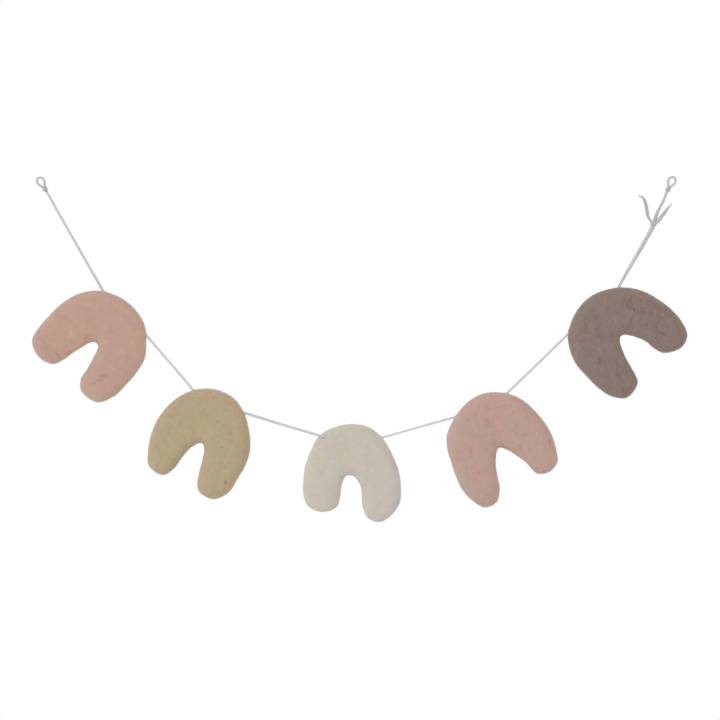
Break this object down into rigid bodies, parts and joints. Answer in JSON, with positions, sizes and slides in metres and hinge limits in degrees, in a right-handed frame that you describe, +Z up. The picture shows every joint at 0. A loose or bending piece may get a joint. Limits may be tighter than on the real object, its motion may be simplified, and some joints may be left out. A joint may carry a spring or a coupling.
{
  "type": "felt garland",
  "caption": "Hanging garland of thick wool-felt arches in soft earth colours, threaded on a thin string with a knotted loop at each end.",
  "frame": {"origin": "midway between the tops of the two hanging loops, in the middle of the felt's thickness", "axes": "+Z up, +X along the garland from the dusty pink arch to the taupe arch, -Y out of the front face"},
  "size_m": [0.6553, 0.016, 0.3457],
  "materials": {
    "felt_dusty_pink": "matt wool felt",
    "felt_olive": "matt wool felt",
    "felt_cream": "matt wool felt",
    "felt_rose": "matt wool felt",
    "felt_taupe": "matt wool felt",
    "string": "matt twisted string"
  },
  "bodies": {
    "root": {"felt_arch_dusty_pink": "felt_dusty_pink", "felt_arch_olive": "felt_olive", "felt_arch_cream": "felt_cream", "felt_arch_rose": "felt_rose", "felt_arch_taupe": "felt_taupe", "string": "string", "join_knot": "string", "tail_limp": "string", "tail_frayed": "string", "tail_lying": "string", "loop_knot_left": "string", "loop_left": "string", "loop_knot_right": "string", "loop_right": "string"}
  },
  "joints": []
}
